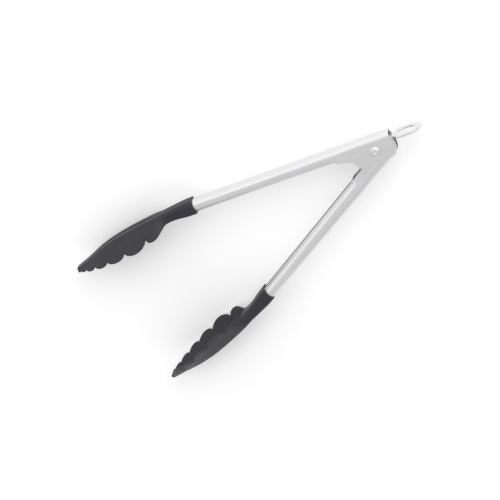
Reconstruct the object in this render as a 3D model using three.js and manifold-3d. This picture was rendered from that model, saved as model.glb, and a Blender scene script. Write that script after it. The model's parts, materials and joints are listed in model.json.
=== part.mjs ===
// Spring loaded kitchen tongs: two folded steel arms on one rivet, scalloped nylon heads,
// a torsion spring that holds them open, and a pull tab with a hanging loop that locks them shut.
//
// Frames. "Arm frame": hinge axis on Z, the arm's back parallel to X on the +Y side, jaws at -X.
// "Head frame": the same, turned so that the line from the hinge to the tip is the -X axis.
// The lower arm is the same thing turned half a turn about X.

import * as THREE from "three";
import { mergeVertices } from "three/addons/utils/BufferGeometryUtils.js";
import Module from "manifold-3d";

const wasm = await Module();
wasm.setup();

// Driving dimensions, in mm and degrees.
const OPENING = 25.34; // swing from open to closed
const SPLAY = 3; // between an arm's back and the line from hinge to tip
const TIP_REACH = 270; // hinge axis to the tip of a head
const HEAD_START = 154.5; // hinge axis to the edge of the collar
const HEAD_WIDTH = 44; // across the widest scallops
const ARM_END = 14.8; // hinge axis to the loop end of the upper arm
const BACK = 11.5; // hinge axis to the outside of an arm's back
const LOWER_TAPER = 2.7; // how much deeper the lower arm is at the hinge than at its head
const SHEET = 1; // steel sheet
const HANDLE_WIDTH = 13.5;
const HANDLE_DEPTH = 10;
const HANDLE_MOUTH = 6; // between the curled rims
const BACK_BEND = 3.6; // outside bend radii of the handle
const RIM_BEND = 3.5;
const PIN_RADIUS = 2.2;
const RIVET_HEAD_RADIUS = 4.3;
const RIVET_HEAD_HEIGHT = 2.1;
const BURR_RADIUS = 4.9;
const BURR_THICKNESS = 0.7;
const SLEEVE_WALL = 0.85;
const WIRE = 1.1; // spring wire
const COIL_TURNS = 4;
const COIL_HEIGHT = 6; // between the middles of the end turns
const LEG_REACH = 32; // hinge axis to a spring leg's end
const LOWER_EAR_RADIUS = 17.5; // round end of the lower arm
const UPPER_EAR_RADIUS = 16.7; // round end of the upper arm's ears
const UPPER_EAR_DROP = 9.5; // how far those ears reach past the hinge axis
const EAR_END = 31; // where the flat ears give way to the curled handle
const EAR_FOOT = 16.8; // hinge axis to the lower corner of the upper ears
const TAB_THICKNESS = 1.6;
const TAB_HEIGHT = 5.9; // hinge axis to the middle of the tab
const TAB_TRAVEL = 7.5;
const LUG_LENGTH = 2.5;
const LUG_START = 0.25; // hinge axis to the lugs, along the arm
const LOOP_WIDTH = 20;
const LOOP_END = 41.5; // hinge axis to the end of the loop
const SLOT_WIDTH = 12;
const SLOT_START = 20.5;
const SLOT_END = 35.5;
const LIP = 0.65; // nylon over the end of the steel
const STEEL_IN_HEAD = 5.5; // length of channel inside the collar
const TANG_WIDTH = 8;
const TANG_REACH = 184; // hinge axis to the end of the tang
const NYLON_WALL = 2.4;
const SLIDE_GAP = 0.3; // between moving neighbours
const FIT_GAP = 0.2; // between fixed neighbours
const FACE_GAP = 0.1; // between faces held together by the rivet

// Values worked out from them.
const HALF = OPENING / 2;
const RIM = BACK - HANDLE_DEPTH; // hinge axis to the rims, in the arm frame
const OUTER = HANDLE_WIDTH / 2;
const EAR_OUTER = OUTER - SHEET - SLIDE_GAP; // outside of the lower arm's ears
const EAR_INNER = EAR_OUTER - SHEET;
const LUG_UNDER = TAB_HEIGHT - TAB_THICKNESS / 2;
const LUG_OVER = TAB_HEIGHT + TAB_THICKNESS / 2;
const INSIDE_BEND = BACK_BEND - SHEET;
const STOP = BACK - SHEET - SLIDE_GAP - 0.55 * INSIDE_BEND; // lower ears meet the upper arm's bend
const STEEL_END = HEAD_START + STEEL_IN_HEAD;
const SLEEVE_INNER = PIN_RADIUS + FACE_GAP;
const COIL_RADIUS = SLEEVE_INNER + SLEEVE_WALL + FIT_GAP + WIRE / 2; // to the middle of the wire
const turn = THREE.MathUtils.degToRad;

// ---- shared helpers ----

function solid(geometry) {
  const bare = geometry.clone();
  bare.deleteAttribute("normal");
  bare.deleteAttribute("uv");
  const merged = mergeVertices(bare, 1e-4);
  const vertProperties = merged.attributes.position.array;
  const triVerts = new Uint32Array(merged.index.array);
  return new wasm.Manifold(new wasm.Mesh({ numProp: 3, vertProperties, triVerts }));
}

function geometryOf(body) {
  const mesh = body.getMesh();
  const geometry = new THREE.BufferGeometry();
  geometry.setAttribute("position", new THREE.BufferAttribute(mesh.vertProperties, 3));
  geometry.setIndex(new THREE.BufferAttribute(mesh.triVerts, 1));
  geometry.computeVertexNormals();
  return geometry;
}

function flat(points) {
  return new THREE.Shape(points.map(([x, y]) => new THREE.Vector2(x, y)));
}

// A plate with an outline in XY, from z = low to z = high.
function plate(shape, low, high) {
  const options = { depth: high - low, bevelEnabled: false, curveSegments: 10 };
  return new THREE.ExtrudeGeometry(shape, options).translate(0, 0, low);
}

function rod(radius, low, high) {
  const geometry = new THREE.CylinderGeometry(radius, radius, high - low, 32);
  return geometry.rotateX(Math.PI / 2).translate(0, 0, (low + high) / 2);
}

function arc(radius, from, to, steps) {
  const points = [];
  for (let i = 0; i <= steps; i++) {
    const angle = from + ((to - from) * i) / steps;
    points.push([radius * Math.cos(angle), radius * Math.sin(angle)]);
  }
  return points;
}

function rotated([x, y], angle) {
  const c = Math.cos(angle);
  const s = Math.sin(angle);
  return [x * c - y * s, x * s + y * c];
}

// An open path with its inner corners rounded, each by its own radius. A corner that is nearly
// straight still gets points a little apart, so that every ring of a loft has the same count.
function rounded(corners, radii, steps) {
  const path = [corners[0]];
  for (let i = 1; i < corners.length - 1; i++) {
    const at = new THREE.Vector2(...corners[i]);
    const before = new THREE.Vector2(...corners[i - 1]).sub(at).normalize();
    const after = new THREE.Vector2(...corners[i + 1]).sub(at).normalize();
    const half = Math.acos(THREE.MathUtils.clamp(before.dot(after), -1, 1)) / 2;
    const reach = radii[i - 1] * Math.max(1 / Math.tan(half), 0.3);
    const curve = new THREE.QuadraticBezierCurve(
      at.clone().addScaledVector(before, reach),
      at,
      at.clone().addScaledVector(after, reach),
    );
    curve.getPoints(steps).forEach((p) => path.push([p.x, p.y]));
  }
  path.push(corners.at(-1));
  return path;
}

// A closed skin over rings of [x, y, z] with equal counts, anticlockwise in YZ, x rising.
function loft(rings) {
  const count = rings[0].length;
  const index = [];
  for (let k = 0; k + 1 < rings.length; k++) {
    for (let i = 0; i < count; i++) {
      const a = k * count + i;
      const b = k * count + ((i + 1) % count);
      index.push(a, b, a + count, b, b + count, a + count);
    }
  }
  const cap = (ring) => {
    const outline = ring.map(([, y, z]) => new THREE.Vector2(y, z));
    return THREE.ShapeUtils.triangulateShape(outline, []);
  };
  const last = (rings.length - 1) * count;
  cap(rings[0]).forEach(([a, b, c]) => index.push(a, c, b));
  cap(rings.at(-1)).forEach(([a, b, c]) => index.push(last + a, last + b, last + c));
  const geometry = new THREE.BufferGeometry();
  geometry.setAttribute("position", new THREE.Float32BufferAttribute(rings.flat(2), 3));
  geometry.setIndex(index);
  return geometry;
}

// Smooth value at x along [x, value] stations: straight between them, eased by a cubic.
function between(stations, x) {
  const next = stations.findIndex(([at]) => at >= x);
  if (next < 0) return stations.at(-1)[1];
  if (next === 0) return stations[0][1];
  const slope = (i) => {
    const a = stations[Math.max(i - 1, 0)];
    const b = stations[Math.min(i + 1, stations.length - 1)];
    return (b[1] - a[1]) / (b[0] - a[0]);
  };
  const [x0, y0] = stations[next - 1];
  const [x1, y1] = stations[next];
  const h = x1 - x0;
  const t = (x - x0) / h;
  const s = 1 - t;
  const ends = y0 * s * s * (1 + 2 * t) + y1 * t * t * (3 - 2 * t);
  return ends + h * t * s * (s * slope(next - 1) - t * slope(next));
}

// ---- steel arms ----

// Folded sheet in YZ: back at the top, sides down to the rims, which curl in by `lip`.
function channelRing(halfWidth, rim, mouth, outside = BACK) {
  const section = (inset) => {
    const side = halfWidth - inset;
    const back = outside - inset;
    const bend = BACK_BEND - inset;
    const corners = [[rim, side], [back, side], [back, -side], [rim, -side]];
    if (mouth === null) return rounded(corners, [bend, bend], 4);
    corners[0][0] += inset;
    corners[3][0] += inset;
    corners.unshift([rim + inset, mouth / 2]);
    corners.push([rim + inset, -mouth / 2]);
    return rounded(corners, [RIM_BEND - inset, bend, bend, RIM_BEND - inset], 4);
  };
  return [...section(0).reverse(), ...section(SHEET)];
}

function channel(from, to, ringAt, steps = 1) {
  const rings = [];
  for (let i = 0; i <= steps; i++) {
    const x = from + ((to - from) * i) / steps;
    rings.push(ringAt(x).map(([y, z]) => [x, y, z]));
  }
  return solid(loft(rings));
}

function handle(from, taper = 0) {
  return channel(-STEEL_END, from, (x) => channelRing(OUTER, RIM, HANDLE_MOUTH, backAt(x, taper)));
}

// Outside of an arm's back at x, for an arm that is deeper by `taper` at the hinge.
function backAt(x, taper) {
  return BACK + taper * (1 + x / STEEL_END);
}

// Narrow strip that runs on from the back into the nylon, in the head frame.
function tang(grow = 0) {
  const half = SHEET / 2 + grow;
  const start = STEEL_END - 4;
  const back = (BACK - SHEET / 2) / Math.cos(turn(SPLAY)) + start * Math.tan(turn(SPLAY));
  const middle = [[-start, back], [-STEEL_END - 4, back - 2.6], [-TANG_REACH - grow, back - 4]];
  const over = middle.map(([x, y]) => [x, y + half]);
  const under = middle.map(([x, y]) => [x, y - half]).reverse();
  const width = TANG_WIDTH / 2 + grow;
  return solid(plate(flat([...over, ...under]), -width, width));
}

function tangInArm() {
  return tang().rotate([0, 0, SPLAY]);
}

function pinHole() {
  return solid(rod(PIN_RADIUS + FACE_GAP, -HANDLE_WIDTH, HANDLE_WIDTH));
}

// Side outline of the upper arm's ears: square end at the back, round below, cut away at the jaws.
function upperEarOutline() {
  const top = BACK + SHEET;
  const start = Math.acos(ARM_END / UPPER_EAR_RADIUS);
  const lower = turn(OPENING + 2 * SPLAY); // the lower arm's back, when open, leans by this
  const reach = BACK + LOWER_TAPER - SLIDE_GAP;
  const foot = Math.acos(reach / UPPER_EAR_RADIUS) - (Math.PI / 2 - lower);
  const heelAt = (y) => (reach - 1 + y * Math.cos(lower)) / Math.sin(lower);
  return [
    [-EAR_END, top],
    [ARM_END, top],
    ...arc(UPPER_EAR_RADIUS, start, foot, 8),
    [heelAt(-UPPER_EAR_DROP), -UPPER_EAR_DROP],
    [-EAR_FOOT, -UPPER_EAR_DROP],
    [-EAR_FOOT - 1.7, -4.1],
    [-EAR_FOOT - 3.7, -2.6],
    [-EAR_END, RIM - 0.2],
  ];
}

function upperArm() {
  const ears = channel(-EAR_END, ARM_END + 2, () => channelRing(OUTER, -UPPER_EAR_DROP - 1, null));
  return ears
    .intersect(solid(plate(flat(upperEarOutline()), -HANDLE_WIDTH, HANDLE_WIDTH)))
    .add(handle(1 - EAR_END))
    .add(tangInArm())
    .subtract(pinHole());
}

// Side outline of the lower arm's ears, drawn closed in the upper arm's frame. The lugs of the
// tab ride in its notch: along the upper edge when closed, along the slanted slot when open. The
// tooth between the two holds the arms shut when the tab is out.
function lowerEarOutline() {
  const swing = turn(OPENING);
  const out = LUG_START + LUG_LENGTH + TAB_TRAVEL + SLIDE_GAP;
  const inner = LUG_UNDER - SLIDE_GAP;
  const outer = LUG_OVER + SLIDE_GAP;
  const slot = (height, along) => rotated([along, height], -swing);
  const toothTip = (outer * Math.cos(swing) - inner) / Math.sin(swing);
  const stopTop = (STOP - inner * Math.cos(swing)) / Math.sin(swing);
  const stopFoot = slot(STOP, Math.sqrt(LOWER_EAR_RADIUS ** 2 - STOP ** 2));
  const lean = turn(2 * SPLAY);
  const own = (x, y) => rotated([x, -y], lean); // a point of the lower arm's own frame
  const over = BACK + LOWER_TAPER + SHEET;
  const heel = own(Math.sqrt(LOWER_EAR_RADIUS ** 2 - over ** 2), over);
  const from = Math.atan2(stopFoot[1], stopFoot[0]);
  const to = Math.atan2(heel[1], heel[0]);
  return [
    slot(outer, toothTip),
    [stopTop, inner],
    ...arc(LOWER_EAR_RADIUS, from, to, 10),
    own(-EAR_END - 3, over),
    own(-EAR_END - 3, RIM - 0.2),
    own(-EAR_FOOT, RIM - 0.2),
    ...arc(inner, turn(125), Math.PI / 2 - swing, 8),
    slot(inner, out),
    slot(outer, out),
  ];
}

function lowerArm() {
  const outline = lowerEarOutline().map((point) => {
    const [x, y] = rotated(point, -turn(2 * SPLAY));
    return [x, -y];
  });
  const widening = (x) => THREE.MathUtils.smoothstep(-x, EAR_FOOT + 6, EAR_END + 3);
  const width = (x) => THREE.MathUtils.lerp(EAR_OUTER, OUTER, widening(x));
  const ringAt = (x) => channelRing(width(x), -BACK, null, backAt(x, LOWER_TAPER));
  const ears = channel(-EAR_END - 3, LOWER_EAR_RADIUS, ringAt, 24);
  return ears
    .intersect(solid(plate(flat(outline), -HANDLE_WIDTH, HANDLE_WIDTH)))
    .add(handle(-EAR_END - 2, LOWER_TAPER))
    .add(tangInArm())
    .subtract(pinHole());
}

// ---- nylon heads ----

// Stations from the collar to the tip, in the head frame: distance from the closing plane to the
// back and to the rim, half width of the back and of the rim, and how hollow the scoop is.
function headStations() {
  const rimHalf = HEAD_WIDTH / 2;
  const over = LIP + FIT_GAP;
  const slope = Math.tan(turn(SPLAY));
  const backAt = (x) => BACK / Math.cos(turn(SPLAY)) + x * slope + over;
  const rimAt = (x) => RIM + x * slope - over;
  const side = OUTER + over;
  const neck = HEAD_START + 27;
  const length = TIP_REACH - neck;
  const along = (share) => neck + share * length;
  return {
    neck,
    along,
    back: [
      [HEAD_START, backAt(HEAD_START)],
      [STEEL_END + 1, backAt(STEEL_END + 1) - 0.1],
      [neck, 19.7],
      [along(0.24), 18.5],
      [along(0.5), 16],
      [along(0.7), 12.2],
      [along(0.86), 7.4],
      [along(0.96), 4.9],
      [TIP_REACH, 4],
    ],
    rim: [
      [HEAD_START, rimAt(HEAD_START)],
      [STEEL_END + 1, rimAt(STEEL_END + 1)],
      [neck, 10.4],
      [along(0.12), 5.8],
      [along(0.33), 2],
      [along(0.55), 1.2],
      [along(0.75), 1.1],
      [TIP_REACH, 0.5],
    ],
    backHalf: [
      [HEAD_START, side],
      [STEEL_END + 1, side],
      [neck, side - 0.9],
      [along(0.2), 6.2],
      [along(0.7), 5.4],
      [along(0.92), 4.2],
      [TIP_REACH, 3.2],
    ],
    rimHalf: [
      [HEAD_START, side],
      [STEEL_END + 1, side],
      [neck, side - 0.4],
      [along(0.12), rimHalf - 3.4],
      [along(0.33), rimHalf - 0.3],
      [along(0.52), rimHalf],
      [along(0.7), rimHalf - 1.6],
      [along(0.86), rimHalf - 7],
      [along(0.95), rimHalf - 12.5],
      [TIP_REACH, 5.4],
    ],
    hollow: [
      [neck + 2, 0],
      [along(0.16), 0.85],
      [along(0.24), 1],
      [along(0.88), 1],
      [along(0.97), 0],
    ],
  };
}

// Depth cut out of a wall between two scallops: rounded lobes that meet in sharp valleys.
function scallop(along, x) {
  const valleys = [0, 0.222, 0.46, 0.65, 0.79, 0.9, 0.97, 1].map(along);
  const depths = [0, 7.6, 6, 4.2, 3.8, 2.8, 1.2, 0.8];
  const next = valleys.findIndex((at) => at >= x);
  if (next <= 0) return 0;
  const t = (x - valleys[next - 1]) / (valleys[next] - valleys[next - 1]);
  const depth = THREE.MathUtils.lerp(depths[next - 1], depths[next], t);
  return depth * (1 - Math.sqrt(1 - (2 * t - 1) ** 2));
}

// Both sides of a section, from its upper half without the points on the middle plane.
function bothSides(half) {
  return [...half, ...half.map(([y, z]) => [y, -z]).reverse()];
}

function sectionAt(stations, x) {
  return {
    back: between(stations.back, x),
    rim: between(stations.rim, x),
    backHalf: between(stations.backHalf, x),
    rimHalf: between(stations.rimHalf, x),
  };
}

// Outside of the head at x: flat back, rounded shoulders, leaning sides up to the scalloped rim.
function headRing(stations, x) {
  const { back, rim, backHalf, rimHalf } = sectionAt(stations, x);
  const lean = new THREE.Vector2(back - rim, backHalf - rimHalf).normalize();
  const cut = scallop(stations.along, x);
  const crest = [rim + lean.x * cut, rimHalf + lean.y * cut];
  const bend = Math.min(3.4, backHalf * 0.6, (back - rim) * 0.4);
  const half = rounded([[back, 0], [back, backHalf], crest, [crest[0], 0]], [bend, 0.3], 3);
  return bothSides(half.slice(1, -1)).map(([y, z]) => [-x, y, z]);
}

// Inside of the scoop at x, a wall thickness in from the outside and open past the rim.
function scoopRing(stations, x) {
  const { back, rim, backHalf, rimHalf } = sectionAt(stations, x);
  const hollow = THREE.MathUtils.clamp(between(stations.hollow, x), 0, 1);
  const floor = THREE.MathUtils.lerp(rim - 1, back - NYLON_WALL, hollow);
  const open = -8;
  const wall = Math.min(NYLON_WALL, rimHalf * 0.5);
  const halfAt = (y) => backHalf + ((rimHalf - backHalf) * (back - y)) / (back - rim) - wall;
  const half = [
    [floor, Math.max(halfAt(floor + 1.2), 0.4)],
    [floor - 1.2, Math.max(halfAt(floor - 0.6), 0.8)],
    [open, Math.max(halfAt(open), 1.2)],
  ];
  return bothSides(half).map(([y, z]) => [-x, y, z]);
}

function head() {
  const stations = headStations();
  const { along } = stations;
  const places = [HEAD_START, HEAD_START + 3, STEEL_END + 1, STEEL_END + 9, STEEL_END + 16];
  const lobes = 54;
  for (let i = 0; i <= lobes; i++) places.push(along(i / lobes));
  const skin = solid(loft(places.reverse().map((x) => headRing(stations, x))));
  const depths = [];
  for (let i = 24; i >= 0; i--) depths.push(along(0.02 + (0.96 * i) / 24));
  const scoop = solid(loft(depths.map((x) => scoopRing(stations, x))));
  const steelEnd = channel(-STEEL_END - FIT_GAP, 1 - HEAD_START, pocketRing).rotate([0, 0, -SPLAY]);
  return skin.subtract(scoop).subtract(steelEnd).subtract(tang(FIT_GAP));
}

// The room that the end of the steel channel takes up in the collar, in the arm frame.
function pocketRing() {
  const side = OUTER + FIT_GAP;
  const back = BACK + FIT_GAP;
  const rim = RIM - FIT_GAP;
  const bends = [BACK_BEND + FIT_GAP, RIM_BEND + FIT_GAP];
  return bothSides(rounded([[back, 0], [back, side], [rim, side], [rim, 0]], bends, 4).slice(1, -1));
}

// ---- hinge hardware ----

// Domed, dimpled head on the upper side, shank through both arms, and a tail set over a burr.
function pivotRivet() {
  const face = OUTER + FACE_GAP;
  const tail = OUTER + BURR_THICKNESS + 2 * FACE_GAP;
  const dimple = 1.3;
  const profile = [
    [0, -tail - 1.5],
    [2.6, -tail - 1.3],
    [3.6, -tail - 0.5],
    [3.6, -tail],
    [PIN_RADIUS, -tail],
    [PIN_RADIUS, face],
    [RIVET_HEAD_RADIUS, face],
    [RIVET_HEAD_RADIUS, face + 0.5],
  ];
  for (let i = 1; i <= 5; i++) {
    const angle = (i / 5) * 1.15;
    const radius = RIVET_HEAD_RADIUS * Math.cos(angle);
    if (radius > dimple) profile.push([radius, face + 0.5 + (RIVET_HEAD_HEIGHT - 0.5) * Math.sin(angle)]);
  }
  profile.push([dimple, face + RIVET_HEAD_HEIGHT - 0.1]);
  profile.push([0, face + RIVET_HEAD_HEIGHT - 0.8]);
  return lathe(profile);
}

function lathe(profile) {
  const points = profile.map(([r, z]) => new THREE.Vector2(r, z));
  return new THREE.LatheGeometry(points, 32).rotateX(Math.PI / 2);
}

function ring(inner, outer, low, high) {
  return lathe([[inner, low], [outer, low], [outer, high], [inner, high], [inner, low]]);
}

function rivetBurr() {
  const near = OUTER + FACE_GAP;
  return ring(PIN_RADIUS + FACE_GAP, BURR_RADIUS, -near - BURR_THICKNESS, -near);
}

function pivotSleeve() {
  const end = EAR_INNER - FACE_GAP;
  return ring(SLEEVE_INNER, SLEEVE_INNER + SLEEVE_WALL, -end, end);
}

// Coil round the sleeve with one leg under each arm's back, as it stands with the arms open.
function torsionSpring() {
  const legHeight = BACK - SHEET - WIRE / 2 - SLIDE_GAP;
  const lean = turn(HALF + SPLAY);
  const top = rotated([-LEG_REACH, legHeight], -lean);
  const deeper = backAt(-LEG_REACH, LOWER_TAPER) - BACK;
  const bottom = rotated([-LEG_REACH, -legHeight - deeper], lean);
  const low = -COIL_HEIGHT / 2;
  const points = [new THREE.Vector3(...bottom, low)];
  const leave = turn(18); // the legs leave the coil this far before the top and the bottom
  const from = -Math.PI / 2 - leave;
  const to = from + 2 * Math.PI * COIL_TURNS + Math.PI + 2 * leave;
  const steps = Math.round((to - from) / turn(30));
  for (let i = 0; i <= steps; i++) {
    const angle = from + ((to - from) * i) / steps;
    const z = low + (COIL_HEIGHT * i) / steps;
    const x = COIL_RADIUS * Math.cos(angle);
    points.push(new THREE.Vector3(x, COIL_RADIUS * Math.sin(angle), z));
  }
  points.push(new THREE.Vector3(...top, low + COIL_HEIGHT));
  const path = new THREE.CurvePath();
  const coil = new THREE.CatmullRomCurve3(points.slice(1, -1));
  path.add(new THREE.LineCurve3(points[0], points[1]));
  path.add(coil);
  path.add(new THREE.LineCurve3(points.at(-2), points.at(-1)));
  const wire = new THREE.Shape().absarc(0, 0, WIRE / 2, 0, 2 * Math.PI);
  const options = { steps: 110, curveSegments: 3, bevelEnabled: false, extrudePath: path };
  return new THREE.ExtrudeGeometry(wire, options);
}

// Flat strip with two side lugs inside the arm and a slotted loop outside it.
function lockTab() {
  const neck = EAR_INNER - SLIDE_GAP;
  const lug = OUTER - SHEET - SLIDE_GAP;
  const lugEnd = LUG_START + LUG_LENGTH;
  const shoulder = LOWER_EAR_RADIUS + SLIDE_GAP + 0.7;
  const round = LOOP_WIDTH / 2;
  const outline = new THREE.Shape();
  outline.moveTo(LUG_START, -lug);
  outline.lineTo(lugEnd, -lug);
  outline.lineTo(lugEnd, -neck);
  outline.lineTo(shoulder, -neck);
  outline.quadraticCurveTo(shoulder + 0.6, -round, shoulder + 5, -round);
  outline.lineTo(LOOP_END - round, -round);
  outline.absarc(LOOP_END - round, 0, round, -Math.PI / 2, Math.PI / 2, false);
  outline.lineTo(shoulder + 5, round);
  outline.quadraticCurveTo(shoulder + 0.6, round, shoulder, neck);
  outline.lineTo(lugEnd, neck);
  outline.lineTo(lugEnd, lug);
  outline.lineTo(LUG_START, lug);
  const end = SLOT_WIDTH / 2;
  const slot = new THREE.Path();
  slot.absarc(SLOT_START + end, 0, end, Math.PI / 2, 1.5 * Math.PI, false);
  slot.absarc(SLOT_END - end, 0, end, -Math.PI / 2, Math.PI / 2, false);
  outline.holes.push(slot);
  const geometry = plate(outline, -TAB_THICKNESS / 2, TAB_THICKNESS / 2);
  return geometry.rotateX(Math.PI / 2).translate(0, TAB_HEIGHT, 0);
}

// ---- assembly ----

function material(color, roughness, metalness) {
  return new THREE.MeshStandardMaterial({ color, roughness, metalness });
}

function named(name, geometry, look) {
  const mesh = new THREE.Mesh(geometry, look);
  mesh.name = name;
  return mesh;
}

const steel = () => material(0xd9dadc, 0.28, 1);
const nylon = () => material(0x4a4950, 0.55, 0);

// Frame of one arm's pieces: `lean` from the closing plane, and turned over for the lower arm.
function side(lean, turnedOver, ...meshes) {
  const inner = new THREE.Group();
  inner.rotation.x = turnedOver ? Math.PI : 0;
  inner.add(...meshes);
  const outer = new THREE.Group();
  outer.rotation.z = turn(turnedOver ? lean : -lean);
  outer.add(inner);
  return outer;
}

const headShape = geometryOf(head());
const upperArmMesh = named("upper_arm", geometryOf(upperArm()), steel());
const lowerArmMesh = named("lower_arm", geometryOf(lowerArm()), steel());
const lockTabMesh = named("lock_tab", lockTab(), steel());

const tongs = new THREE.Group();
tongs.add(
  side(HALF + SPLAY, false, upperArmMesh, lockTabMesh),
  side(HALF + SPLAY, true, lowerArmMesh),
  side(HALF, false, named("upper_head", headShape, nylon())),
  side(HALF, true, named("lower_head", headShape.clone(), nylon())),
  named("pivot_rivet", pivotRivet(), steel()),
  named("rivet_burr", rivetBurr(), steel()),
  named("pivot_sleeve", pivotSleeve(), steel()),
  named("torsion_spring", torsionSpring(), material(0x8f9296, 0.35, 1)),
);

// The origin is at the middle of the foot of the bounding box, lying on its side.
tongs.updateMatrixWorld(true);
const box = new THREE.Box3().setFromObject(tongs, true);
tongs.position.set(-(box.min.x + box.max.x) / 2, -(box.min.y + box.max.y) / 2, -box.min.z);

const group = new THREE.Group();
group.add(tongs);

export default group;
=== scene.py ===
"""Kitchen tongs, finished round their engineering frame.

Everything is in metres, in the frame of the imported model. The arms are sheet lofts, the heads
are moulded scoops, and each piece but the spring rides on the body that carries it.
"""

import json
import math

import bmesh
import bpy
from bpy.props import FloatProperty, FloatVectorProperty, PointerProperty
from mathutils import Matrix, Vector


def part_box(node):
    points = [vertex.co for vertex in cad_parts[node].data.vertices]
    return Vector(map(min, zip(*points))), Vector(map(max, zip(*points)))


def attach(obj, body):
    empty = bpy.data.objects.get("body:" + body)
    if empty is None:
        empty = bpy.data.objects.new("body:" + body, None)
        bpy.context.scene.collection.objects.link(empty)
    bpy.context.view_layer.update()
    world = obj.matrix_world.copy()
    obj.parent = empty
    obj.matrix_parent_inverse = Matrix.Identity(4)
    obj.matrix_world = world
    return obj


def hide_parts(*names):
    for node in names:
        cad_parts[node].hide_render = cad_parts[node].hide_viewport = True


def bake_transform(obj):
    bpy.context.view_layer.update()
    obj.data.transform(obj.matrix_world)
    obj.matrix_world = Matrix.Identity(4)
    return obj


bl_info = {
    "name": "Kitchen Tongs",
    "version": (1, 0, 0),
    "blender": (4, 5, 0),
    "location": "View3D > Sidebar > Tongs",
    "description": "Builds spring loaded kitchen tongs with nylon heads round a packed frame",
    "category": "Add Mesh",
}

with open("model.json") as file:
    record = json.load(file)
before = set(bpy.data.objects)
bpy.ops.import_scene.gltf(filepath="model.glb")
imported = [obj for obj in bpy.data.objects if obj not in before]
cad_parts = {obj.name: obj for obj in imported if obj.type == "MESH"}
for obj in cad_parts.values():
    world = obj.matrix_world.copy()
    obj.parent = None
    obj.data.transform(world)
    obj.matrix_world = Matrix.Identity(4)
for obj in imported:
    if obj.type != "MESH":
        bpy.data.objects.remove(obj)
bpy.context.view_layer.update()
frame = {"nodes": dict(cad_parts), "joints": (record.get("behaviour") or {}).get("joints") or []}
MM = 0.001
TINY = 1e-9
FAR = 0.3  # metres, past the jaw end of an arm
CLEAR = 20 * MM  # past the side of any piece
BELOW = 3 * MM  # lower side of the arms' outlines, past the curled rims
PIN_GAP = 0.1 * MM  # between the rivet's shank and what turns on it
TUCK = 0.2 * MM  # room that the nylon leaves round the steel
TANG_LENGTH = 24 * MM
TANG_HALF = 4 * MM  # half of the tang's width
COLLAR = 27 * MM  # from the collar's edge to the neck
LUG_START = 0.25 * MM  # hinge axis to the tab's lugs
LUG_LENGTH = 2.5 * MM
CORNER_SHARE = 0.48  # of its shorter side, that a round corner may take


def joint(name):
    """The frame's joint of that name."""
    return next(j for j in frame["joints"] if j["name"] == name)


PIVOT = Vector(joint("arms_pivot")["pos_m"])
SWING = math.radians(joint("arms_pivot")["range_deg"][1])
TAB_PULL = Vector(joint("lock_slide")["axis"])
LEAN = -math.atan2(TAB_PULL.y, TAB_PULL.x)  # of each arm from the middle line, arms open
SPLAY = LEAN - SWING / 2  # between an arm's back and the line from hinge to tip


def extent(node, axis):
    """Length of a frame node's box along one axis."""
    low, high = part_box(node)
    return high[axis] - low[axis]


def reach(node, direction):
    """Farthest distance of a frame node's points from the hinge axis, along a direction."""
    spots = [v.co - PIVOT for v in frame["nodes"][node].data.vertices]
    return max(s.dot(direction) for s in spots)


TIPWARD = Vector((-math.cos(LEAN - SPLAY), math.sin(LEAN - SPLAY), 0))  # along the upper head


def length(name, words, default):
    """A size that can be changed in the sidebar."""
    return FloatProperty(name=name, description=words, default=default, unit="LENGTH", precision=5)


def colour(name, words, default):
    """A colour that can be changed in the sidebar."""
    return FloatVectorProperty(
        name=name, description=words, default=default, subtype="COLOR", min=0, max=1, size=3
    )


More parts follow.
